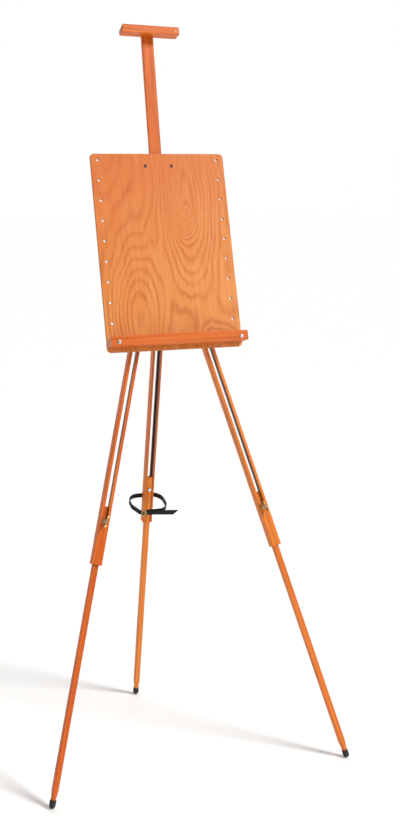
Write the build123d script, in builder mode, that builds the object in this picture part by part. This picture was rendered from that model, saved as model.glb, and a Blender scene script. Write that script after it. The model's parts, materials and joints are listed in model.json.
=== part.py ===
from build123d import *
import math
import os

# Tripod studio easel: three telescopic wooden legs on a forked head block, a tilting
# drilled plywood board, a sliding mast with a top bar, and a bolted ledge.
# Origin: centre of the footprint on the floor. +X right as seen by the painter,
# -Y towards the painter, +Z up. Millimetres.

# ------------------------------------------------------------------ stance
FOOT_X = 374.5            # front feet, left and right of the centre line
FRONT_Y = 251.4           # front feet, in front of the origin
REAR_Y = 250.7            # rear foot, behind the origin
LEG_LEAN = 13.93          # the front legs' common plane leans back
PIVOT_X = 52.0            # front leg pivots, either side of the centre line
PIVOT_V = 1185.0          # front leg pivots, up the leaning plane
REAR_V = 1216.0           # rear leg hinge, up the leaning plane
TILT_V = 1325.0           # board tilt hinge, up the leaning plane

# ------------------------------------------------------------------ legs
UPPER_W = 25.0            # upper leg, across
UPPER_D = 20.0            # upper leg, front to back
WEB_T = 5.5               # slotted web of the channel section
CHANNEL_W = 15.0          # channel that the lower leg slides in
SLOT_W = 10.4             # slot in the web for the clamping bolt
LOWER_W = 13.6            # square lower leg
SLIDE_GAP = 0.3           # between the lower leg and the web
LOWER_Y = UPPER_D / 2 - (UPPER_D - WEB_T) + SLIDE_GAP + LOWER_W / 2
SLOT_RUN = 470.0          # the slot's length between its end centres
CHANNEL_PAST = 25.0       # the channel runs this far above the slot
FRONT_END = 549.0         # lower end of a front upper leg, from the floor tip
FRONT_BOLT = 650.0        # clamping bolt at full extension
FRONT_TOP = 686.0         # top end of a front lower leg
REAR_END = 519.0
REAR_BOLT = 612.0
REAR_TOP = 646.0
STRAP_LEVEL = 582.0       # back of the strap's loop, up the rear leg
TIP_R = 7.5               # rubber foot
TIP_H = 18.0
TAPER_TOP = 42.0          # the lower leg narrows below this height
SPIGOT_R = 4.6            # end of the lower leg inside the rubber foot

# ------------------------------------------------------------------ head block
HEAD_T = 24.0
HEAD_GAP = 0.3            # between the front legs and the block
HEAD_FRONT = -(UPPER_D / 2 + HEAD_GAP)
HEAD_MID = HEAD_FRONT - HEAD_T / 2
HEAD_HALF = 66.0
TONGUE_HALF = 25.7
FORK_HALF = UPPER_W / 2 + 0.4

# ------------------------------------------------------------------ board
BOARD_LEAN = 16.8
BOARD_Y = -41.8           # lower edge of the board's front face
BOARD_Z = 997.9
BOARD_W = 346.0
BOARD_H = 486.0
BOARD_T = 7.0
HOLE_PITCH = 50.0
HOLE_COUNT = 10
HOLE_R = 3.6
HOLE_INSET = 18.0
HOLE_TOP = 16.0
LEDGE_DROP = 11.0         # ledge underside above the board's lower edge
LEDGE_D = 38.0
LEDGE_FRONT = 24.0
LEDGE_BACK = 15.5

# ------------------------------------------------------------------ mast
GUIDE_U = 455.0           # guide centre above the board's lower edge
GUIDE_W = 96.0
GUIDE_H = 40.0
GUIDE_WALL = 8.0
MAST_W = 30.0
MAST_T = 10.0
MAST_SET = 12.0           # mast front face behind the board's front face
MAST_SKEW = 1.6           # the mast leans to the right in its guide
MAST_LOW = -119.0         # mast ends, from the guide's centre
BAR_UP = 335.6            # underside of the top bar, from the guide's centre
BAR_W = 148.0
BAR_D = 30.0
BAR_FRONT = 20.0
BAR_BACK = 12.5

# ------------------------------------------------------------------ hardware
BOLT_R = 3.0
RUN = 0.06                # radial running clearance of a bolt in a turning part
WASHER_R = 9.0
WASHER_T = 1.2
NUT_H = 9.0
HEAD_R = 7.5
SLIDE_HEAD_R = 5.0
SLIDE_WASHER_R = 7.6
HEAD_H = 3.0


def unit(angle):
    """Cosine and sine of an angle in degrees."""
    return math.cos(math.radians(angle)), math.sin(math.radians(angle))


lean_c, lean_s = unit(LEG_LEAN)
board_c, board_s = unit(BOARD_LEAN)
skew_c, skew_s = unit(MAST_SKEW)

# local x to the right, local y up the slope, local z out of the front
leg_plane = Plane(origin=(0, -FRONT_Y, 0), x_dir=(1, 0, 0), z_dir=(0, -lean_c, lean_s))
board_plane = Plane(origin=(0, BOARD_Y, BOARD_Z), x_dir=(1, 0, 0),
                    z_dir=(0, -board_c, board_s))
mast_plane = Plane(origin=board_plane.from_local_coords((0, GUIDE_U, -MAST_SET)),
                   x_dir=board_plane.x_dir * skew_c - board_plane.y_dir * skew_s,
                   z_dir=board_plane.z_dir)
rear_pivot = leg_plane.from_local_coords((0, REAR_V, HEAD_MID))
tilt_pivot = leg_plane.from_local_coords((0, TILT_V, HEAD_MID))


def leg_axis(foot, pivot, open_side):
    """Plane at the floor tip of a leg: z up the leg, y towards the channel's open side."""
    z = (pivot - Vector(*foot)).normalized()
    return Plane(origin=foot, x_dir=open_side.cross(z).normalized(), z_dir=z)


def at(plane, x, y, z, z_dir, x_dir):
    """Plane at a local point of another plane."""
    return Plane(origin=plane.from_local_coords((x, y, z)), x_dir=x_dir, z_dir=z_dir)


left_pivot = leg_plane.from_local_coords((-PIVOT_X, PIVOT_V, 0))
right_pivot = leg_plane.from_local_coords((PIVOT_X, PIVOT_V, 0))
left_leg = leg_axis((-FOOT_X, -FRONT_Y, 0), left_pivot, -leg_plane.z_dir)
right_leg = leg_axis((FOOT_X, -FRONT_Y, 0), right_pivot, -leg_plane.z_dir)
rear_leg = leg_axis((0, REAR_Y, 0), rear_pivot, Vector(0, -1, 0))
front_reach = left_leg.to_local_coords(left_pivot).Z
rear_reach = rear_leg.to_local_coords(rear_pivot).Z


# ------------------------------------------------------------------ shared shapes
def carriage_bolt(seat, length, head_r=HEAD_R, head_h=HEAD_H):
    """Domed bolt; seat lies under the head, its z pointing out of the head."""
    with BuildPart() as bolt:
        with BuildSketch(seat):
            Circle(head_r)
        extrude(amount=head_h)
        crown = bolt.faces().sort_by(Axis(seat.origin, seat.z_dir))[-1]
        fillet(crown.edges(), radius=head_h * 0.8)
        with BuildSketch(seat):
            Circle(BOLT_R)
        extrude(amount=-length)
    return bolt.part


def wing_pair(seat):
    """The two upright rounded wings of a wing nut or wing screw."""
    wing_plane = Plane(origin=seat.origin, x_dir=seat.x_dir, z_dir=-seat.y_dir)
    with BuildPart() as pair:
        for side in (-1, 1):
            with BuildSketch(wing_plane):
                with Locations((side * 4.2, 4.4)):
                    Circle(3.6)
                with Locations((side * 11.5, 11.5)):
                    Circle(4.0)
                make_hull()
            extrude(amount=1.3, both=True)
    return pair.part


def wing_nut(seat, turn=0):
    """Wing nut; seat is its underside, z pointing away from the clamped part."""
    turn_c, turn_s = unit(turn)
    seat = Plane(origin=seat.origin, x_dir=seat.x_dir * turn_c + seat.y_dir * turn_s,
                 z_dir=seat.z_dir)
    with BuildPart() as nut:
        with BuildSketch(seat):
            Circle(6.4)
        extrude(amount=NUT_H, taper=9)
        add(wing_pair(seat))
        with BuildSketch(seat):
            Circle(BOLT_R + RUN)
        extrude(amount=20, both=True, mode=Mode.SUBTRACT)
    return nut.part


def washer(seat, outer=WASHER_R):
    """Flat washer lying on the seat plane."""
    with BuildPart() as ring:
        with BuildSketch(seat):
            Circle(outer)
            Circle(BOLT_R + 0.2, mode=Mode.SUBTRACT)
        extrude(amount=WASHER_T)
    return ring.part


def wood_screw(seat, length, head_r=4.0, shank_r=1.8):
    """Round-headed screw; seat lies under the head, z pointing out of the head."""
    with BuildPart() as screw:
        with BuildSketch(seat):
            Circle(head_r)
        extrude(amount=1.4, taper=30)
        with BuildSketch(seat):
            Circle(shank_r)
        extrude(amount=-length)
    return screw.part


# ------------------------------------------------------------------ legs
def upper_leg(leg, end, reach, slot_low, hinge_across):
    """Channel-section upper leg, rounded at its hinge and slotted through the web."""
    if hinge_across:
        outline = at(leg, -UPPER_W / 2, 0, 0, leg.x_dir, leg.y_dir)
        width, depth = UPPER_D, UPPER_W
    else:
        outline = at(leg, 0, UPPER_D / 2, 0, -leg.y_dir, leg.x_dir)
        width, depth = UPPER_W, UPPER_D
    hinge = Axis(outline.origin, outline.z_dir)
    channel_top = slot_low + SLOT_RUN + CHANNEL_PAST
    with BuildPart() as part:
        with BuildSketch(outline):
            with Locations((0, (end + reach) / 2)):
                Rectangle(width, reach - end)
            with Locations((0, reach)):
                Circle(width / 2)
        extrude(amount=depth)
        fillet(part.edges().filter_by(hinge, reverse=True), radius=1.5)
        with BuildSketch(leg.offset(end)):
            with Locations((0, UPPER_D / 2)):
                Rectangle(CHANNEL_W, 2 * (UPPER_D - WEB_T))
        extrude(amount=channel_top - end, mode=Mode.SUBTRACT)
        slot_mid = slot_low + SLOT_RUN / 2
        with BuildSketch(at(leg, 0, -UPPER_D / 2, slot_mid, leg.y_dir, leg.z_dir)):
            SlotOverall(SLOT_RUN + SLOT_W, SLOT_W)
        extrude(amount=WEB_T + 1, mode=Mode.SUBTRACT)
        with BuildSketch(outline):
            with Locations((0, reach)):
                Circle(BOLT_R + RUN)
        extrude(amount=depth, mode=Mode.SUBTRACT)
    return part.part


def lower_leg(leg, top, bolt):
    """Square lower leg, narrowed to a round spigot at the foot."""
    with BuildPart() as part:
        with BuildSketch(leg.offset(TAPER_TOP)):
            with Locations((0, LOWER_Y)):
                RectangleRounded(LOWER_W, LOWER_W, 1.2)
        extrude(amount=top - TAPER_TOP)
        with BuildSketch(leg.offset(TAPER_TOP)):
            with Locations((0, LOWER_Y)):
                RectangleRounded(LOWER_W, LOWER_W, 1.2)
        with BuildSketch(leg.offset(TIP_H + 2)):
            with Locations((0, LOWER_Y)):
                Circle(SPIGOT_R + 1.2)
        loft()
        with BuildSketch(leg.offset(TIP_H + 2)):
            with Locations((0, LOWER_Y)):
                Circle(SPIGOT_R)
        extrude(amount=-10)
        with BuildSketch(at(leg, 0, LOWER_Y, bolt, leg.y_dir, leg.x_dir)):
            Circle(BOLT_R + 0.1)
        extrude(amount=LOWER_W, both=True, mode=Mode.SUBTRACT)
        fillet(part.faces().sort_by(Axis(leg.origin, leg.z_dir))[-1].edges(), radius=1.0)
    return part.part


def rubber_foot(leg):
    """Round-ended rubber tip pushed on to the spigot; its lowest point is on the floor."""
    centre = (TIP_R - LOWER_Y * leg.y_dir.Z) / leg.z_dir.Z
    with BuildPart() as part:
        with BuildSketch(leg.offset(centre)):
            with Locations((0, LOWER_Y)):
                Circle(TIP_R)
        extrude(amount=TIP_H + 1.8 - centre)
        with Locations(leg.from_local_coords((0, LOWER_Y, centre))):
            Sphere(TIP_R)
        with BuildSketch(leg.offset(TIP_H + 2)):
            with Locations((0, LOWER_Y)):
                Circle(SPIGOT_R + 0.05)
        extrude(amount=-10.2, mode=Mode.SUBTRACT)
    return part.part


def slide_bolt(leg, bolt):
    """Bolt through the lower leg and the slot, with its head on the channel side."""
    seat = at(leg, 0, LOWER_Y + LOWER_W / 2, bolt, leg.y_dir, leg.x_dir)
    return carriage_bolt(seat, LOWER_W + WEB_T + WASHER_T + NUT_H + 3, head_r=SLIDE_HEAD_R)


def web_seat(leg, bolt, gap):
    """Plane just off the web's outer face at a bolt."""
    return at(leg, 0, -UPPER_D / 2 - gap, bolt, -leg.y_dir, leg.x_dir)


with BuildPart() as front_left_upper_leg:
    add(upper_leg(left_leg, FRONT_END, front_reach, FRONT_BOLT, False))
with BuildPart() as front_right_upper_leg:
    add(upper_leg(right_leg, FRONT_END, front_reach, FRONT_BOLT, False))
with BuildPart() as rear_upper_leg:
    add(upper_leg(rear_leg, REAR_END, rear_reach, REAR_BOLT, True))
    with BuildSketch(at(rear_leg, 0, -UPPER_D / 2, STRAP_LEVEL + 6, rear_leg.y_dir, (1, 0, 0))):
        Circle(1.9)
    extrude(amount=WEB_T + 1, mode=Mode.SUBTRACT)
with BuildPart() as front_left_lower_leg:
    add(lower_leg(left_leg, FRONT_TOP, FRONT_BOLT))
with BuildPart() as front_right_lower_leg:
    add(lower_leg(right_leg, FRONT_TOP, FRONT_BOLT))
with BuildPart() as rear_lower_leg:
    add(lower_leg(rear_leg, REAR_TOP, REAR_BOLT))
with BuildPart() as front_left_foot:
    add(rubber_foot(left_leg))
with BuildPart() as front_right_foot:
    add(rubber_foot(right_leg))
with BuildPart() as rear_foot:
    add(rubber_foot(rear_leg))
with BuildPart() as front_left_slide_bolt:
    add(slide_bolt(left_leg, FRONT_BOLT))
with BuildPart() as front_right_slide_bolt:
    add(slide_bolt(right_leg, FRONT_BOLT))
with BuildPart() as rear_slide_bolt:
    add(slide_bolt(rear_leg, REAR_BOLT))
with BuildPart() as front_left_slide_washer:
    add(washer(web_seat(left_leg, FRONT_BOLT, 0.1), SLIDE_WASHER_R))
with BuildPart() as front_right_slide_washer:
    add(washer(web_seat(right_leg, FRONT_BOLT, 0.1), SLIDE_WASHER_R))
with BuildPart() as rear_slide_washer:
    add(washer(web_seat(rear_leg, REAR_BOLT, 0.1), SLIDE_WASHER_R))
with BuildPart() as front_left_slide_wing_nut:
    add(wing_nut(web_seat(left_leg, FRONT_BOLT, WASHER_T + 0.2), turn=80))
with BuildPart() as front_right_slide_wing_nut:
    add(wing_nut(web_seat(right_leg, FRONT_BOLT, WASHER_T + 0.2), turn=100))
with BuildPart() as rear_slide_wing_nut:
    add(wing_nut(web_seat(rear_leg, REAR_BOLT, WASHER_T + 0.2), turn=90))

# ------------------------------------------------------------------ head block
with BuildPart() as head_block:
    with BuildSketch(leg_plane.offset(HEAD_FRONT - HEAD_T)):
        with BuildLine():
            Polyline((-HEAD_HALF, 1160), (HEAD_HALF, 1160), (HEAD_HALF, 1236), (TONGUE_HALF, 1278),
                     (TONGUE_HALF, TILT_V), (-TONGUE_HALF, TILT_V), (-TONGUE_HALF, 1278),
                     (-HEAD_HALF, 1236), close=True)
        make_face()
    extrude(amount=HEAD_T)
    with BuildSketch(at(leg_plane, -TONGUE_HALF, TILT_V, HEAD_MID, (1, 0, 0), leg_plane.y_dir)):
        Circle(HEAD_T / 2)
    extrude(amount=2 * TONGUE_HALF)
    with BuildSketch(leg_plane.offset(HEAD_FRONT - HEAD_T)):
        with Locations((0, (1150 + REAR_V + 17) / 2)):
            Rectangle(2 * FORK_HALF, REAR_V + 17 - 1150)
        with Locations((-PIVOT_X, PIVOT_V), (PIVOT_X, PIVOT_V)):
            Circle(BOLT_R + 0.1)
    extrude(amount=HEAD_T, mode=Mode.SUBTRACT)
    with BuildSketch(Plane(origin=rear_pivot, x_dir=leg_plane.y_dir, z_dir=(1, 0, 0))):
        Circle(BOLT_R + 0.1)
    extrude(amount=HEAD_HALF, both=True, mode=Mode.SUBTRACT)
    with BuildSketch(Plane(origin=tilt_pivot, x_dir=leg_plane.y_dir, z_dir=(1, 0, 0))):
        Circle(BOLT_R + 0.1)
    extrude(amount=HEAD_HALF, both=True, mode=Mode.SUBTRACT)

front_seats = [at(leg_plane, side * PIVOT_X, PIVOT_V, UPPER_D / 2 + 0.1, leg_plane.z_dir, (1, 0, 0))
               for side in (-1, 1)]
back_seats = [at(leg_plane, side * PIVOT_X, PIVOT_V, HEAD_FRONT - HEAD_T, -leg_plane.z_dir, (1, 0, 0))
              for side in (-1, 1)]
with BuildPart() as leg_pivot_bolts:
    for seat in front_seats:
        add(carriage_bolt(seat, UPPER_D + HEAD_T + NUT_H + 5, head_h=2.4))
with BuildPart() as left_pivot_wing_nut:
    add(wing_nut(back_seats[0].offset(WASHER_T + 0.1)))
with BuildPart() as right_pivot_wing_nut:
    add(wing_nut(back_seats[1].offset(WASHER_T + 0.1)))

rear_head_seat = Plane(origin=rear_pivot - Vector(HEAD_HALF, 0, 0), x_dir=(0, 0, 1), z_dir=(-1, 0, 0))
rear_nut_seat = Plane(origin=rear_pivot + Vector(HEAD_HALF, 0, 0), x_dir=(0, 0, 1), z_dir=(1, 0, 0))
with BuildPart() as rear_pivot_bolt:
    add(carriage_bolt(rear_head_seat, 2 * HEAD_HALF + WASHER_T + NUT_H + 3))
with BuildPart() as rear_pivot_wing_nut:
    add(wing_nut(rear_nut_seat.offset(WASHER_T + 0.1)))

# ------------------------------------------------------------------ tilt hinge
CHEEK_IN = TONGUE_HALF + 0.3
CHEEK_OUT = CHEEK_IN + 2.5
BATTEN_T = 12.0
BATTEN_IN = CHEEK_IN + 1.0
BATTEN_W = 20.0
BATTEN_LOW = 236.0
BATTEN_HIGH = 400.0
tilt_local = board_plane.to_local_coords(tilt_pivot)
plate_back = -(BOARD_T + BATTEN_T)

tilt_head_seat = Plane(origin=tilt_pivot - Vector(CHEEK_OUT + 0.1, 0, 0), x_dir=(0, 0, 1),
                       z_dir=(-1, 0, 0))
tilt_nut_seat = Plane(origin=tilt_pivot + Vector(CHEEK_OUT + 0.1, 0, 0), x_dir=(0, 0, 1),
                      z_dir=(1, 0, 0))
with BuildPart() as tilt_bolt:
    add(carriage_bolt(tilt_head_seat, 2 * CHEEK_OUT + WASHER_T + NUT_H + 3))
with BuildPart() as tilt_wing_nut:
    add(wing_nut(tilt_nut_seat.offset(WASHER_T + 0.1), turn=20))
with BuildPart() as pivot_washers:
    for seat in back_seats + [rear_nut_seat, tilt_nut_seat]:
        add(washer(seat, outer=8.0))

with BuildPart() as back_battens:
    with BuildSketch(board_plane.offset(-BOARD_T)):
        for side in (-1, 1):
            with Locations((side * (BATTEN_IN + BATTEN_W / 2), (BATTEN_LOW + BATTEN_HIGH) / 2)):
                Rectangle(BATTEN_W, BATTEN_HIGH - BATTEN_LOW)
    extrude(amount=-BATTEN_T)
    for side in (-1, 1):
        for step in (-14, 14):
            with BuildSketch(board_plane.offset(plate_back)):
                with Locations((side * (CHEEK_OUT + 8.5), tilt_local.Y + step)):
                    Circle(1.65)
            extrude(amount=9, mode=Mode.SUBTRACT)

with BuildPart() as tilt_brackets:
    for side in (-1, 1):
        inner = CHEEK_IN if side > 0 else -CHEEK_OUT
        with BuildSketch(at(board_plane, inner, tilt_local.Y, 0, (1, 0, 0), board_plane.y_dir)):
            with Locations((0, tilt_local.Z)):
                Circle(12)
            with BuildLine():
                Polyline((-22, plate_back), (22, plate_back), (11.5, tilt_local.Z + 2),
                         (-11.5, tilt_local.Z + 2), close=True)
            make_face()
        extrude(amount=CHEEK_OUT - CHEEK_IN)
        with BuildSketch(board_plane.offset(plate_back)):
            with Locations((side * (CHEEK_OUT + CHEEK_IN + 18) / 2, tilt_local.Y)):
                Rectangle(18 + CHEEK_OUT - CHEEK_IN, 44)
            for step in (-14, 14):
                with Locations((side * (CHEEK_OUT + 8.5), tilt_local.Y + step)):
                    Circle(1.8, mode=Mode.SUBTRACT)
        extrude(amount=-2.5)
    with BuildSketch(Plane(origin=tilt_pivot, x_dir=board_plane.y_dir, z_dir=(1, 0, 0))):
        Circle(BOLT_R + RUN)
    extrude(amount=HEAD_HALF, both=True, mode=Mode.SUBTRACT)

with BuildPart() as bracket_screws:
    for side in (-1, 1):
        for step in (-14, 14):
            add(wood_screw(at(board_plane, side * (CHEEK_OUT + 8.5), tilt_local.Y + step,
                              plate_back - 2.5, -board_plane.z_dir, (1, 0, 0)), 11, 3.4, 1.6))

# ------------------------------------------------------------------ board
hole_spots = [(side * (BOARD_W / 2 - HOLE_INSET), BOARD_H - HOLE_TOP - HOLE_PITCH * row)
              for side in (-1, 1) for row in range(HOLE_COUNT)]
ledge_spots = [(side * (BOARD_W / 2 - HOLE_INSET),
                BOARD_H - HOLE_TOP - HOLE_PITCH * (HOLE_COUNT - 1)) for side in (-1, 1)]
screw_spots = [(-34, GUIDE_U), (34, GUIDE_U)]
with BuildPart() as board:
    with BuildSketch(board_plane):
        with Locations((0, BOARD_H / 2)):
            RectangleRounded(BOARD_W, BOARD_H, 10)
        with Locations(*hole_spots):
            Circle(HOLE_R, mode=Mode.SUBTRACT)
        with Locations(*screw_spots):
            Circle(1.9, mode=Mode.SUBTRACT)
    extrude(amount=-BOARD_T)
    rim = board.edges().filter_by(GeomType.CIRCLE).filter_by(lambda e: e.radius > 9)
    long_rim = board.edges().filter_by(lambda e: e.length > 100)
    fillet(rim + long_rim, radius=0.9)

with BuildPart() as mast_guide:
    with BuildSketch(board_plane.offset(-BOARD_T)):
        with Locations((0, GUIDE_U)):
            RectangleRounded(GUIDE_W, GUIDE_H, 4)
        with Locations(*screw_spots):
            Circle(1.9, mode=Mode.SUBTRACT)
    extrude(amount=-(MAST_SET - BOARD_T + MAST_T + 0.3 + GUIDE_WALL))
    with BuildSketch(board_plane.offset(-MAST_SET + 0.3)):
        with Locations((0, GUIDE_U)):
            Rectangle(MAST_W + 2, GUIDE_H + 2)
    extrude(amount=-(MAST_T + 0.6), mode=Mode.SUBTRACT)
    with BuildSketch(at(board_plane, 0, GUIDE_U, -MAST_SET - MAST_T, -board_plane.z_dir, (1, 0, 0))):
        Circle(5.5)
    extrude(amount=20, mode=Mode.SUBTRACT)

guide_back = -(MAST_SET + MAST_T + 0.3 + GUIDE_WALL)
with BuildPart() as clamp_insert:
    with BuildSketch(at(board_plane, 0, GUIDE_U, guide_back, board_plane.z_dir, (1, 0, 0))):
        Circle(5.4)
        Circle(BOLT_R + RUN, mode=Mode.SUBTRACT)
    extrude(amount=GUIDE_WALL)
clamp_seat = at(board_plane, 0, GUIDE_U, guide_back - 4, -board_plane.z_dir, (1, 0, 0))
with BuildPart() as mast_clamp_screw:
    with BuildSketch(clamp_seat):
        Circle(6.4)
    extrude(amount=NUT_H, taper=9)
    add(wing_pair(clamp_seat))
    with BuildSketch(clamp_seat):
        Circle(BOLT_R)
    extrude(amount=-(4 + GUIDE_WALL + 0.1))

with BuildPart() as guide_screws:
    for x, u in screw_spots:
        add(wood_screw(at(board_plane, x, u, 0, board_plane.z_dir, (1, 0, 0)), 24, 4.2, 1.8))

# ------------------------------------------------------------------ mast and top bar
MAST_TOP = BAR_UP + BAR_BACK - 0.5
bar_screw_spots = [(-7, BAR_UP + 6), (7, BAR_UP + 6)]
with BuildPart() as mast:
    with BuildSketch(mast_plane):
        with Locations((0, (MAST_LOW + MAST_TOP) / 2)):
            Rectangle(MAST_W, MAST_TOP - MAST_LOW)
        with Locations(*bar_screw_spots):
            Circle(1.7, mode=Mode.SUBTRACT)
    extrude(amount=-MAST_T)
    fillet(mast.edges().filter_by(lambda e: e.length > 100), radius=1.2)

with BuildPart() as top_bar:
    with BuildSketch(at(mast_plane, BAR_W / 2, BAR_UP, 0, -mast_plane.x_dir, mast_plane.z_dir)):
        with BuildLine():
            Polyline((0, 0), (BAR_D, 0), (BAR_D, BAR_FRONT), (0, BAR_BACK), close=True)
        make_face()
    extrude(amount=BAR_W)
    fillet(top_bar.edges().filter_by(lambda e: e.length > 100), radius=1.2)
    with BuildSketch(mast_plane):
        with Locations(*bar_screw_spots):
            Circle(1.7)
    extrude(amount=14, mode=Mode.SUBTRACT)
    with BuildSketch(at(mast_plane, BAR_W / 2 - 9, BAR_UP + 9, BAR_D, mast_plane.z_dir, (1, 0, 0))):
        Circle(0.8)
    extrude(amount=-12, mode=Mode.SUBTRACT)

with BuildPart() as top_bar_screws:
    for x, u in bar_screw_spots:
        add(wood_screw(at(mast_plane, x, u, -MAST_T, -mast_plane.z_dir, (1, 0, 0)), 22, 3.4, 1.6))
with BuildPart() as top_bar_brad:
    with BuildSketch(at(mast_plane, BAR_W / 2 - 9, BAR_UP + 9, BAR_D, mast_plane.z_dir, (1, 0, 0))):
        Circle(1.3)
    extrude(amount=0.4)
    with BuildSketch(at(mast_plane, BAR_W / 2 - 9, BAR_UP + 9, BAR_D, mast_plane.z_dir, (1, 0, 0))):
        Circle(0.75)
    extrude(amount=-11)

# ------------------------------------------------------------------ ledge
with BuildPart() as ledge:
    with BuildSketch(at(board_plane, BOARD_W / 2, LEDGE_DROP, 0, (-1, 0, 0), board_plane.z_dir)):
        with BuildLine():
            Polyline((0, 0), (LEDGE_D, 0), (LEDGE_D, LEDGE_FRONT), (0, LEDGE_BACK), close=True)
        make_face()
    extrude(amount=BOARD_W)
    fillet(ledge.edges().filter_by(lambda e: e.length > 100), radius=1.5)
    with BuildSketch(board_plane):
        with Locations(*ledge_spots):
            Circle(BOLT_R + 0.15)
    extrude(amount=LEDGE_D + 1, mode=Mode.SUBTRACT)

ledge_nut_seats = [at(board_plane, x, u, -BOARD_T, -board_plane.z_dir, (1, 0, 0))
                   for x, u in ledge_spots]
with BuildPart() as ledge_bolts:
    for x, u in ledge_spots:
        seat = at(board_plane, x, u, LEDGE_D, board_plane.z_dir, (1, 0, 0))
        add(carriage_bolt(seat, LEDGE_D + BOARD_T + NUT_H + 5, head_r=4.8, head_h=2.6))
with BuildPart() as ledge_washers:
    for seat in ledge_nut_seats:
        add(washer(seat, outer=8.0))
with BuildPart() as ledge_left_wing_nut:
    add(wing_nut(ledge_nut_seats[0].offset(WASHER_T + 0.1)))
with BuildPart() as ledge_right_wing_nut:
    add(wing_nut(ledge_nut_seats[1].offset(WASHER_T + 0.1)))

# ------------------------------------------------------------------ carrying strap
STRAP_W = 12.0
STRAP_T = 2.0
STRAP_DROP = 19.0         # the loop's front hangs lower than its back
STRAP_LEFT = 54.0         # the loop's reach to the left and right of the leg's middle
STRAP_RIGHT = 38.0
STRAP_DEEP = 74.0         # the loop, front to back
STRAP_BEND = 29.0         # corner radius of the loop
STRAP_OFF = 3.6           # loop's back behind the leg
BUCKLE_X = -34.0
TAIL_X = 62.0             # tip of the tail
TAIL_DROP = 8.0
TAIL_HOLES = 6
TAIL_HOLE_START = 30.0    # first hole, from the buckle
TAIL_HOLE_STEP = 9.0
LAYER = STRAP_T + 0.3
strap_c, strap_s = unit(STRAP_DROP)
strap_back = rear_leg.from_local_coords((0, -UPPER_D / 2 - STRAP_OFF, STRAP_LEVEL))
strap_plane = Plane(origin=strap_back, x_dir=(1, 0, 0), z_dir=(0, -strap_s, strap_c))
strap_front = at(strap_plane, 0, -STRAP_DEEP - LAYER - STRAP_T / 2, STRAP_W / 2,
                 -strap_plane.y_dir, (1, 0, 0))
with BuildPart() as leg_strap:
    with BuildSketch(strap_plane):
        with BuildLine():
            FilletPolyline((BUCKLE_X + 3, -STRAP_DEEP), (STRAP_RIGHT, -STRAP_DEEP),
                           (STRAP_RIGHT, 0), (-STRAP_LEFT, 0), (-STRAP_LEFT, -46),
                           (BUCKLE_X - 6, -STRAP_DEEP - LAYER),
                           (BUCKLE_X + 8, -STRAP_DEEP - LAYER),
                           radius=[STRAP_BEND, STRAP_BEND, STRAP_BEND, 24, 12])
        trace(line_width=STRAP_T)
    extrude(amount=STRAP_W)
    with BuildSketch(strap_front):
        with BuildLine():
            Polyline((BUCKLE_X + 4, -STRAP_W / 2), (BUCKLE_X + 4, STRAP_W / 2),
                     (TAIL_X, STRAP_W / 2 - TAIL_DROP),
                     (TAIL_X - 12, -STRAP_W / 2 - TAIL_DROP), close=True)
        make_face()
        for step in range(TAIL_HOLES):
            run = TAIL_HOLE_START + TAIL_HOLE_STEP * step
            with Locations((BUCKLE_X + run, -TAIL_DROP * run / (TAIL_X - BUCKLE_X))):
                Circle(1.1, mode=Mode.SUBTRACT)
    extrude(amount=-STRAP_T)
    with BuildSketch(at(rear_leg, 0, -UPPER_D / 2, STRAP_LEVEL + 6, -rear_leg.y_dir, (1, 0, 0))):
        Circle(1.9)
    extrude(amount=8, mode=Mode.SUBTRACT)

with BuildPart() as strap_buckle:
    with BuildSketch(strap_front.offset(0.1)):
        with Locations((BUCKLE_X + 1, 0)):
            RectangleRounded(11, 16, 1.6)
            RectangleRounded(7.6, 12.4, 0.8, mode=Mode.SUBTRACT)
        with Locations((BUCKLE_X + 5, 0)):
            Rectangle(10, 1.6)
    extrude(amount=1.6)

with BuildPart() as strap_screw:
    add(wood_screw(at(rear_leg, 0, -UPPER_D / 2 - 4.2, STRAP_LEVEL + 6, -rear_leg.y_dir, (1, 0, 0)),
                   8.6, 3.6, 1.8))

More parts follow.
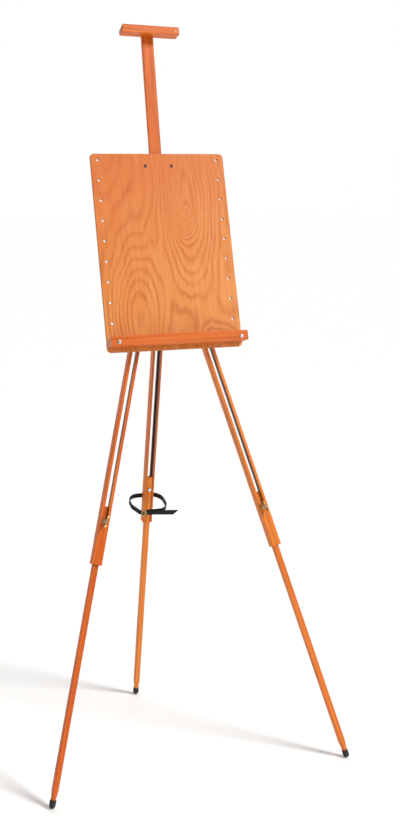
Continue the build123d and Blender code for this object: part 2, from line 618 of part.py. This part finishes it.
# ------------------------------------------------------------------ export
NODES = {
    "head_block": head_block,
    "leg_pivot_bolts": leg_pivot_bolts,
    "rear_pivot_bolt": rear_pivot_bolt,
    "tilt_bolt": tilt_bolt,
    "pivot_washers": pivot_washers,
    "left_pivot_wing_nut": left_pivot_wing_nut,
    "right_pivot_wing_nut": right_pivot_wing_nut,
    "rear_pivot_wing_nut": rear_pivot_wing_nut,
    "tilt_wing_nut": tilt_wing_nut,
    "front_left_upper_leg": front_left_upper_leg,
    "front_right_upper_leg": front_right_upper_leg,
    "rear_upper_leg": rear_upper_leg,
    "front_left_lower_leg": front_left_lower_leg,
    "front_right_lower_leg": front_right_lower_leg,
    "rear_lower_leg": rear_lower_leg,
    "front_left_foot": front_left_foot,
    "front_right_foot": front_right_foot,
    "rear_foot": rear_foot,
    "front_left_slide_bolt": front_left_slide_bolt,
    "front_right_slide_bolt": front_right_slide_bolt,
    "rear_slide_bolt": rear_slide_bolt,
    "front_left_slide_washer": front_left_slide_washer,
    "front_right_slide_washer": front_right_slide_washer,
    "rear_slide_washer": rear_slide_washer,
    "front_left_slide_wing_nut": front_left_slide_wing_nut,
    "front_right_slide_wing_nut": front_right_slide_wing_nut,
    "rear_slide_wing_nut": rear_slide_wing_nut,
    "board": board,
    "back_battens": back_battens,
    "tilt_brackets": tilt_brackets,
    "bracket_screws": bracket_screws,
    "mast_guide": mast_guide,
    "guide_screws": guide_screws,
    "clamp_insert": clamp_insert,
    "mast_clamp_screw": mast_clamp_screw,
    "mast": mast,
    "top_bar": top_bar,
    "top_bar_screws": top_bar_screws,
    "top_bar_brad": top_bar_brad,
    "ledge": ledge,
    "ledge_bolts": ledge_bolts,
    "ledge_washers": ledge_washers,
    "ledge_left_wing_nut": ledge_left_wing_nut,
    "ledge_right_wing_nut": ledge_right_wing_nut,
    "leg_strap": leg_strap,
    "strap_buckle": strap_buckle,
    "strap_screw": strap_screw,
}

os.makedirs("parts", exist_ok=True)
for name, node in NODES.items():
    node.part.label = name
    export_step(node.part, f"parts/{name}.step")
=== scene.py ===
import json
import math

import bpy
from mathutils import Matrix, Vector


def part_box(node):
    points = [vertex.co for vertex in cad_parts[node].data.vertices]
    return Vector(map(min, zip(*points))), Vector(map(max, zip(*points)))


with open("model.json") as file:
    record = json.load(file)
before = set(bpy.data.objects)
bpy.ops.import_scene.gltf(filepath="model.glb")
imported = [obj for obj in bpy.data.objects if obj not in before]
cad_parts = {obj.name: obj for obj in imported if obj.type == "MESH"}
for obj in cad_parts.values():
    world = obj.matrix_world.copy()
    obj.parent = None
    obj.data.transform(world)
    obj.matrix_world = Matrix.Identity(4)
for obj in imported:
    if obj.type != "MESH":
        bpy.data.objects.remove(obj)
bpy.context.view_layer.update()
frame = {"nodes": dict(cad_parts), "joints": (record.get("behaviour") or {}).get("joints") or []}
nodes = frame["nodes"]
joints = {j["name"]: j for j in frame["joints"]}

MM = 0.001
RIGHT = Vector((1, 0, 0))


# ------------------------------------------------------------------ directions taken from the frame
def axis_of(joint):
    """Unit axis of one of the model's joints."""
    return Vector(joints[joint]["axis"]).normalized()


board_out = -axis_of("clamp_screw_turn")
board_up = board_out.cross(RIGHT).normalized()
mast_up = axis_of("mast_height")
leg_front = axis_of("front_left_leg_fold")
leg_plane_up = leg_front.cross(RIGHT).normalized()
left_up = axis_of("front_left_leg_height")
right_up = axis_of("front_right_leg_height")
rear_up = axis_of("rear_leg_height")
rear_out = axis_of("rear_slide_nut_turn")


def centre(node):
    """Middle of a CAD node's box."""
    low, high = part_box(node)
    return (low + high) / 2


# ------------------------------------------------------------------ node helpers
class Graph:
    """A material's node tree with short ways to add and join nodes."""

    def __init__(self, name):
        self.material = bpy.data.materials.new(name)
        self.material.use_nodes = True
        self.tree = self.material.node_tree
        self.surface = self.tree.nodes["Principled BSDF"]

    def node(self, kind, **values):
        made = self.tree.nodes.new(kind)
        for key, value in values.items():
            setattr(made, key, value)
        return made

    def put(self, socket, value):
        """Joins a socket to another one, or sets its value."""
        if isinstance(value, bpy.types.NodeSocket):
            self.tree.links.new(value, socket)
        else:
            socket.default_value = value

    def math(self, operation, a, b=0.0):
        made = self.node("ShaderNodeMath", operation=operation)
        self.put(made.inputs[0], a)
        self.put(made.inputs[1], b)
        return made.outputs[0]

    def dot(self, a, b):
        made = self.node("ShaderNodeVectorMath", operation="DOT_PRODUCT")
        self.put(made.inputs[0], a)
        self.put(made.inputs[1], b)
        return made.outputs["Value"]

    def place(self, origin, x, y, z):
        """Object coordinates turned into a piece's own frame: x across, y deep, z along."""
        coords = self.node("ShaderNodeTexCoord").outputs["Object"]
        moved = self.node("ShaderNodeVectorMath", operation="SUBTRACT")
        self.put(moved.inputs[0], coords)
        self.put(moved.inputs[1], tuple(origin))
        made = self.node("ShaderNodeCombineXYZ")
        for socket, axis in zip(made.inputs, (x, y, z)):
            self.put(socket, self.dot(moved.outputs[0], tuple(axis)))
        return made.outputs[0]

    def scaled(self, coords, factors):
        made = self.node("ShaderNodeVectorMath", operation="MULTIPLY")
        self.put(made.inputs[0], coords)
        self.put(made.inputs[1], factors)
        return made.outputs[0]

    def noise(self, coords, scale=1.0, detail=3.0, rough=0.5):
        made = self.node("ShaderNodeTexNoise")
        self.put(made.inputs["Vector"], coords)
        made.inputs["Scale"].default_value = scale
        made.inputs["Detail"].default_value = detail
        made.inputs["Roughness"].default_value = rough
        return made.outputs["Fac"]

    def ramp(self, fac, stops):
        made = self.node("ShaderNodeValToRGB")
        self.put(made.inputs[0], fac)
        band = made.color_ramp
        while len(band.elements) < len(stops):
            band.elements.new(0.5)
        for element, (place, colour) in zip(band.elements, stops):
            element.position = place
            element.color = (*colour, 1)
        return made.outputs["Color"]

    def mix(self, fac, a, b, blend="MIX"):
        made = self.node("ShaderNodeMix", data_type="RGBA", blend_type=blend)
        self.put(made.inputs["Factor"], fac)
        self.put(made.inputs["A"], a if isinstance(a, bpy.types.NodeSocket) else (*a, 1))
        self.put(made.inputs["B"], b if isinstance(b, bpy.types.NodeSocket) else (*b, 1))
        return made.outputs["Result"]

    def remap(self, value, low, high, to_low, to_high):
        made = self.node("ShaderNodeMapRange")
        self.put(made.inputs["Value"], value)
        for name, number in (("From Min", low), ("From Max", high),
                             ("To Min", to_low), ("To Max", to_high)):
            made.inputs[name].default_value = number
        return made.outputs["Result"]

    def bump(self, height, strength, distance):
        made = self.node("ShaderNodeBump")
        made.inputs["Strength"].default_value = strength
        made.inputs["Distance"].default_value = distance
        self.put(made.inputs["Height"], height)
        self.put(self.surface.inputs["Normal"], made.outputs["Normal"])

    def set(self, **values):
        for key, value in values.items():
            self.put(self.surface.inputs[key.replace("_", " ")], value)


def grey(value):
    """A grey as a colour."""
    return (value, value, value)


# ------------------------------------------------------------------ wood
BEECH_DARK = (0.40, 0.072, 0.006)
BEECH_MID = (0.68, 0.135, 0.011)
BEECH_PALE = (0.84, 0.218, 0.026)
FLECK = (0.25, 0.07, 0.02)
DEEP_RED = (0.50, 0.060, 0.010)
STRAW = (0.92, 0.37, 0.060)
# near-black painted shade for the inside of a leg's channel
CHANNEL_SHADE = (0.035, 0.012, 0.005)
CHANNEL_DIM = 0.9
CHANNEL_HALF = 7.7 * MM     # either side of the leg's centre line
CHANNEL_DEEP = 9.7 * MM     # either side of the leg's mid-depth
SEED_SLANT = 0.37           # share of a seed's step in X that the grain also takes in Y
BEND_ACROSS = 0.03
BEND_DEEP = 0.02


def beech(name, origin, across, along, tone=1.0, seed=0.0, warm=0.0, channel=None):
    """Varnished straight-grained beech, with painted shade darkening the inside of a leg's channel.
    """
    g = Graph(name)
    deep = along.cross(across).normalized()
    local = g.place(Vector(origin) + Vector((seed, seed * SEED_SLANT, 0)), across, deep, along)
    wander = g.noise(g.scaled(local, (14.0, 14.0, 2.2)), detail=2.0)
    bent = g.node("ShaderNodeVectorMath", operation="ADD")
    g.put(bent.inputs[0], g.scaled(local, (1.0, 1.0, 0.05)))
    shift = g.node("ShaderNodeCombineXYZ")
    g.put(shift.inputs[0], g.math("MULTIPLY", wander, BEND_ACROSS))
    g.put(shift.inputs[1], g.math("MULTIPLY", wander, BEND_DEEP))
    g.put(bent.inputs[1], shift.outputs[0])
    bands = g.noise(g.scaled(bent.outputs[0], (230.0, 170.0, 60.0)), detail=4.0, rough=0.6)
    broad = g.noise(g.scaled(local, (30.0, 30.0, 2.5)), detail=2.0)
    colour = g.ramp(bands, [(0.28, tuple(c * tone for c in BEECH_DARK)),
                            (0.47, tuple(c * tone for c in BEECH_MID)),
                            (0.72, tuple(c * tone for c in BEECH_PALE))])
    shade = g.ramp(broad, [(0.3, grey(0.80)), (0.7, grey(1.0))])
    colour = g.mix(0.7, colour, shade, "MULTIPLY")
    flecks = g.noise(g.scaled(local, (1500.0, 1500.0, 160.0)), detail=1.0)
    fleck_mask = g.remap(flecks, 0.63, 0.70, 0.0, 0.55)
    colour = g.mix(fleck_mask, colour, tuple(c * tone for c in FLECK))
    # warm above zero mixes towards deep red, below zero towards pale straw; on the legs this is
    # partly painted shade and painted light
    if warm > 0:
        colour = g.mix(warm, colour, DEEP_RED)
    if warm < 0:
        colour = g.mix(-warm, colour, STRAW)
    if channel:
        # painted shade: inside the leg's channel the colour is mixed towards near black
        inside = g.node("ShaderNodeSeparateXYZ")
        g.put(inside.inputs[0], g.place(channel, across, deep, along))
        narrow = g.math("LESS_THAN", g.math("ABSOLUTE", inside.outputs[0]), CHANNEL_HALF)
        sunk = g.math("LESS_THAN", g.math("ABSOLUTE", inside.outputs[1]), CHANNEL_DEEP)
        channel_shade_mask = g.math("MULTIPLY", g.math("MULTIPLY", narrow, sunk), CHANNEL_DIM)
        colour = g.mix(channel_shade_mask, colour, CHANNEL_SHADE)
    patches = g.noise(g.scaled(local, (40.0, 40.0, 12.0)), detail=3.0)
    g.set(Base_Color=colour, Roughness=g.remap(patches, 0.3, 0.7, 0.34, 0.52))
    g.set(Coat_Weight=0.12, Coat_Roughness=0.25, Specular_IOR_Level=0.22)
    pores = g.math("ADD", g.math("MULTIPLY", bands, 0.6), g.math("MULTIPLY", flecks, 0.4))
    g.bump(pores, 0.18, 0.0004)
    return g.material


PLY_PALE = (0.74, 0.300, 0.078)
PLY_MID = (0.66, 0.200, 0.034)
PLY_LINE = (0.50, 0.118, 0.018)
PLY_SPECK = (0.30, 0.055, 0.010)
PLY_SHEEN = (0.92, 0.47, 0.18)
# colour of the upper-left darkening: part wood tone, part painted shade
PLY_TONE_AND_SHADE = (0.60, 0.125, 0.018)
EDGE_DARK = (0.30, 0.085, 0.022)
EDGE_PALE = (0.56, 0.22, 0.07)
PLY_PAIR = 2.8 * MM         # one dark and one pale ply
FIGURE_SLOPE = 1.2
LINE_RATE = 36.0
LINE_SHARPNESS = 2.4
BOARD_HALF = 243 * MM       # half the board's length
# centre across and up from the board's lower edge, width, height and rise of each swirl
SWIRLS = ((-0.085, 0.085, 0.064, 0.165, 1.50),
          (0.062, 0.400, 0.070, 0.270, 1.60),
          (0.046, 0.318, 0.026, 0.034, 0.85),
          (0.115, -0.010, 0.050, 0.060, 1.10),
          (-0.120, 0.470, 0.050, 0.110, -0.30))


def swirl(g, local, cx, cz, wide, tall, height):
    """A smooth hill in the figure's height field, which its contours ring."""
    moved = g.node("ShaderNodeVectorMath", operation="SUBTRACT")
    g.put(moved.inputs[0], local)
    g.put(moved.inputs[1], (cx, 0.0, cz))
    flat = g.scaled(moved.outputs[0], (1.0 / wide, 0.0, 1.0 / tall))
    square = g.dot(flat, flat)
    return g.math("MULTIPLY", g.math("EXPONENT", g.math("MULTIPLY", square, -1.0)), height)


def plywood(name, origin):
    """Rotary-cut face veneer with contour-like swirls, darker to the upper left (part wood tone,
    part painted shade), and plied edges.
    """
    g = Graph(name)
    local = g.place(origin, RIGHT, -board_out, board_up)
    warp = g.noise(g.scaled(local, (9.0, 9.0, 3.4)), detail=2.5, rough=0.45)
    fine = g.noise(g.scaled(local, (42.0, 42.0, 9.0)), detail=3.0)
    height = g.math("ADD", g.math("MULTIPLY", warp, 0.80), g.math("MULTIPLY", fine, 0.16))
    slope = g.math("MULTIPLY", g.dot(local, (1.0, 0.0, 0.0)), FIGURE_SLOPE)
    height = g.math("ADD", height, slope)
    for shape in SWIRLS:
        height = g.math("ADD", height, swirl(g, local, *shape))
    lines = g.math("SINE", g.math("MULTIPLY", height, LINE_RATE))
    rings = g.remap(lines, -1.0, 1.0, 0.0, 1.0)
    sharp = g.math("POWER", rings, LINE_SHARPNESS)
    broad = g.noise(g.scaled(local, (7.0, 7.0, 3.0)), detail=2.0)
    rise_up = g.remap(g.dot(local, (0.0, 0.0, 1.0)), 0.0, 0.45, 0.85, 0.15)
    paleness = g.math("MULTIPLY", g.remap(broad, 0.3, 0.65, 0.3, 1.0), rise_up)
    colour = g.mix(paleness, PLY_MID, PLY_PALE)
    fade = g.noise(g.scaled(local, (18.0, 18.0, 10.0)), detail=1.0)
    line_mask = g.math("MULTIPLY", sharp, g.remap(fade, 0.3, 0.7, 0.35, 0.9))
    colour = g.mix(line_mask, colour, PLY_LINE)
    streaks = g.noise(g.scaled(local, (900.0, 900.0, 45.0)), detail=2.0)
    colour = g.mix(g.remap(streaks, 0.5, 0.75, 0.0, 0.22), colour, PLY_LINE)
    specks = g.noise(g.scaled(local, (420.0, 420.0, 130.0)), detail=1.0)
    colour = g.mix(g.remap(specks, 0.735, 0.76, 0.0, 0.55), colour, PLY_SPECK)
    sheen = g.noise(g.scaled(local, (120.0, 120.0, 10.0)), detail=2.0)
    colour = g.mix(g.remap(sheen, 0.4, 0.8, 0.0, 0.22), colour, PLY_SHEEN)
    # darker towards the upper left: part wood tone, part painted shade
    upper_left_tone_and_shade = g.remap(g.dot(local, (-0.5, 0.0, 1.0)), 0.15, 0.52, 0.0, 0.6)
    colour = g.mix(upper_left_tone_and_shade, colour, PLY_TONE_AND_SHADE)
    depth = g.node("ShaderNodeSeparateXYZ")
    g.put(depth.inputs[0], local)
    plies = g.math("SINE", g.math("MULTIPLY", depth.outputs[1], 2 * math.pi / PLY_PAIR))
    edge_colour = g.ramp(g.remap(plies, -1.0, 1.0, 0.0, 1.0),
                         [(0.35, EDGE_DARK), (0.65, EDGE_PALE)])
    normal = g.node("ShaderNodeNewGeometry").outputs["Normal"]
    facing = g.math("ABSOLUTE", g.dot(normal, tuple(board_out)))
    colour = g.mix(g.remap(facing, 0.55, 0.8, 1.0, 0.0), colour, edge_colour)
    g.set(Base_Color=colour, Roughness=g.remap(broad, 0.3, 0.7, 0.36, 0.5))
    g.set(Coat_Weight=0.10, Coat_Roughness=0.28, Specular_IOR_Level=0.22)
    g.bump(g.math("ADD", g.math("MULTIPLY", streaks, 0.5), g.math("MULTIPLY", rings, 0.5)),
           0.12, 0.0004)
    return g.material


# ------------------------------------------------------------------ other materials
def metal(name, base, dull, roughness, seed):
    """Plated metal with fine brushing, spots of tarnish and uneven polish."""
    g = Graph(name)
    coords = g.node("ShaderNodeTexCoord").outputs["Object"]
    moved = g.node("ShaderNodeVectorMath", operation="ADD")
    g.put(moved.inputs[0], coords)
    g.put(moved.inputs[1], (seed, seed, seed))
    spots = g.noise(moved.outputs[0], scale=260.0, detail=4.0, rough=0.65)
    scratches = g.noise(g.scaled(moved.outputs[0], (2600.0, 300.0, 300.0)), detail=2.0)
    colour = g.mix(g.remap(spots, 0.5, 0.75, 0.0, 0.7), base, dull)
    polish = g.math("ADD", g.remap(spots, 0.3, 0.8, roughness, roughness + 0.22),
                    g.math("MULTIPLY", scratches, 0.06))
    g.set(Base_Color=colour, Metallic=1.0, Roughness=polish)
    g.bump(scratches, 0.06, 0.0002)
    return g.material


def rubber(name):
    """Matt black moulded rubber with patches of dust."""
    g = Graph(name)
    coords = g.node("ShaderNodeTexCoord").outputs["Object"]
    grain = g.noise(coords, scale=1400.0, detail=3.0)
    dust = g.noise(coords, scale=120.0, detail=4.0, rough=0.7)
    colour = g.mix(g.remap(dust, 0.45, 0.8, 0.0, 0.5), grey(0.012), (0.07, 0.062, 0.055))
    g.set(Base_Color=colour, Roughness=g.remap(dust, 0.3, 0.7, 0.62, 0.85))
    g.bump(grain, 0.25, 0.0005)
    return g.material


def leather(name):
    """Black leather with pebbled grain, worn paler in patches."""
    g = Graph(name)
    coords = g.node("ShaderNodeTexCoord").outputs["Object"]
    cells = g.node("ShaderNodeTexVoronoi", feature="DISTANCE_TO_EDGE")
    g.put(cells.inputs["Vector"], coords)
    cells.inputs["Scale"].default_value = 1100.0
    wear = g.noise(coords, scale=70.0, detail=4.0, rough=0.6)
    colour = g.mix(g.remap(wear, 0.5, 0.8, 0.0, 0.6), (0.004, 0.0036, 0.0032),
                   (0.018, 0.014, 0.011))
    g.set(Base_Color=colour, Roughness=g.remap(wear, 0.3, 0.7, 0.38, 0.6))
    g.set(Specular_IOR_Level=0.2)
    g.bump(g.remap(cells.outputs["Distance"], 0.0, 0.15, 0.0, 1.0), 0.3, 0.0003)
    return g.material


# ------------------------------------------------------------------ finish of every CAD node
def paint(node, material):
    """Gives a CAD node one material."""
    mesh = nodes[node].data
    mesh.materials.clear()
    mesh.materials.append(material)


brass = metal("brass", (0.66, 0.45, 0.17), (0.24, 0.13, 0.04), 0.18, 0.3)
chrome = metal("chrome", (0.80, 0.80, 0.81), (0.42, 0.41, 0.40), 0.10, 1.1)
dark_screw = metal("dark_screw", (0.05, 0.045, 0.04), (0.02, 0.018, 0.016), 0.34, 2.0)
bracket = metal("bracket_steel", (0.55, 0.55, 0.56), (0.30, 0.28, 0.26), 0.32, 3.0)
black_rubber = rubber("black_rubber")
strap_leather = leather("strap_leather")

FACE_TO_MIDDLE = 10 * MM    # from the leg's slotted face, where the nut's joint is, to its mid-depth
LOWER_SEED = 1.7
# direction up the leg, grain seed, warmth of the upper leg and of the lower leg; on the legs the
# warmth is part wood tone and part painted light and shade, redder and darker on the left leg, paler
# on the others
LEGS = {"front_left": (left_up, 0.0, 0.28, 0.40),
        "front_right": (right_up, 3.1, -0.22, -0.10),
        "rear": (rear_up, 7.3, -0.05, -0.28)}
for side, (up, seed, warm, lower_warm) in LEGS.items():
    across = up.cross(leg_front if side != "rear" else rear_out).normalized()
    upper, lower = side + "_upper_leg", side + "_lower_leg"
    nut = joints[side + "_slide_nut_turn"]
    middle = Vector(nut["pos_m"]) - Vector(nut["axis"]).normalized() * FACE_TO_MIDDLE
    paint(upper, beech(upper, centre(upper), across, up, 1.0, seed, warm, middle))
    paint(lower, beech(lower, centre(lower), across, up, 0.96, seed + LOWER_SEED, lower_warm))
    paint(side + "_foot", black_rubber)
    paint(side + "_slide_bolt", chrome)
    paint(side + "_slide_washer", chrome)
    paint(side + "_slide_wing_nut", brass)
paint("head_block", beech("head_block", centre("head_block"), RIGHT, leg_plane_up, 0.95, 5.2))
paint("board", plywood("board_plywood", centre("board") - board_up * BOARD_HALF))
paint("back_battens", beech("back_battens", centre("back_battens"), RIGHT, board_up, 0.95, 2.2))
paint("mast_guide", beech("mast_guide", centre("mast_guide"), board_up, RIGHT, 0.92, 4.4))
paint("mast", beech("mast", centre("mast"), RIGHT, mast_up, 1.0, 8.8, warm=0.12))
paint("top_bar", beech("top_bar", centre("top_bar"), mast_up, RIGHT, 1.0, 6.1, warm=0.1))
paint("ledge", beech("ledge", centre("ledge"), board_up, RIGHT, 1.0, 9.4, warm=0.1))
paint("leg_strap", strap_leather)
for name in ("left_pivot_wing_nut", "right_pivot_wing_nut", "rear_pivot_wing_nut",
             "tilt_wing_nut", "mast_clamp_screw", "clamp_insert", "ledge_left_wing_nut",
             "ledge_right_wing_nut", "strap_buckle", "top_bar_brad"):
    paint(name, brass)
for name in ("leg_pivot_bolts", "rear_pivot_bolt", "tilt_bolt", "pivot_washers", "ledge_bolts",
             "ledge_washers", "bracket_screws", "top_bar_screws", "strap_screw"):
    paint(name, chrome)
paint("guide_screws", dark_screw)
paint("tilt_brackets", bracket)

# ------------------------------------------------------------------ room
FLOOR_SIZE = 60
FLOOR_DROP = 0.5 * MM       # keeps the floor clear of the feet
BRIGHT_SIDE = (0.35, 0.94, 0.0)
SKY_DIM, SKY_DIM_AT = 0.28, 0.05
SKY_BRIGHT, SKY_BRIGHT_AT = 1.0, 0.60
LIGHT_WHITE = (1.0, 0.98, 0.95)
SUN_POWER = 2.55
SUN_ANGLE = 16
SUN_WAY = (-0.62, 0.62, -0.78)
KEY_POWER = 22

floor_material = Graph("floor")
speckle = floor_material.noise(floor_material.node("ShaderNodeTexCoord").outputs["Object"],
                               scale=6.0, detail=2.0)
floor_material.set(Base_Color=floor_material.ramp(speckle, [(0.3, grey(0.97)), (0.7, grey(0.99))]),
                   Roughness=0.7)
bpy.ops.mesh.primitive_plane_add(size=FLOOR_SIZE, location=(0, 0, -FLOOR_DROP))
floor = bpy.context.object
floor.name = "floor"
floor.data.materials.append(floor_material.material)

world = bpy.data.worlds.new("studio")
bpy.context.scene.world = world
world.use_nodes = True
sky = world.node_tree
direction = sky.nodes.new("ShaderNodeTexCoord").outputs["Generated"]
facing_back = sky.nodes.new("ShaderNodeVectorMath")
facing_back.operation = "DOT_PRODUCT"
facing_back.inputs[1].default_value = BRIGHT_SIDE
sky.links.new(direction, facing_back.inputs[0])
shades = sky.nodes.new("ShaderNodeValToRGB")
shades.color_ramp.elements[0].position = SKY_DIM_AT
shades.color_ramp.elements[0].color = (*grey(SKY_DIM), 1)
shades.color_ramp.elements[1].position = SKY_BRIGHT_AT
shades.color_ramp.elements[1].color = (*grey(SKY_BRIGHT), 1)
sky.links.new(facing_back.outputs["Value"], shades.inputs[0])
sky.links.new(shades.outputs["Color"], sky.nodes["Background"].inputs["Color"])
sky.nodes["Background"].inputs["Strength"].default_value = 1.0


def softbox(name, place, target, size, power, colour):
    """A rectangular area light aimed at a point."""
    data = bpy.data.lights.new(name, "AREA")
    data.shape = "RECTANGLE"
    data.size, data.size_y = size
    data.energy = power
    data.color = colour
    light = bpy.data.objects.new(name, data)
    bpy.context.scene.collection.objects.link(light)
    light.location = place
    aim = (Vector(target) - Vector(place)).to_track_quat("-Z", "Y")
    light.rotation_euler = aim.to_euler()


sun_data = bpy.data.lights.new("sun", "SUN")
sun_data.energy = SUN_POWER
sun_data.angle = math.radians(SUN_ANGLE)
sun_data.color = LIGHT_WHITE
sun = bpy.data.objects.new("sun", sun_data)
bpy.context.scene.collection.objects.link(sun)
sun.rotation_euler = Vector(SUN_WAY).to_track_quat("-Z", "Y").to_euler()
softbox("key", (2.4, -2.6, 2.2), (0, 0, 1.0), (1.2, 2.0), KEY_POWER, LIGHT_WHITE)

# ------------------------------------------------------------------ camera
EYE = (-1.018, -2.650, 1.430)
YAW = 18.36
PITCH = -8.07
FOCAL_RATIO = 1.4104        # focal length over the frame's height
SENSOR = 36
SHIFT_X = 0.10
SHIFT_Y = -0.10
camera_data = bpy.data.cameras.new("camera")
camera_data.sensor_fit = "VERTICAL"
camera_data.sensor_height = SENSOR
camera_data.lens = FOCAL_RATIO * SENSOR
camera_data.shift_x = SHIFT_X
camera_data.shift_y = SHIFT_Y
camera = bpy.data.objects.new("camera", camera_data)
bpy.context.scene.collection.objects.link(camera)
camera.location = EYE
camera.rotation_euler = (math.radians(90 + PITCH), 0, math.radians(-YAW))
bpy.context.scene.camera = camera
bpy.context.scene.view_settings.view_transform = "Standard"
bpy.context.scene.view_settings.look = "None"
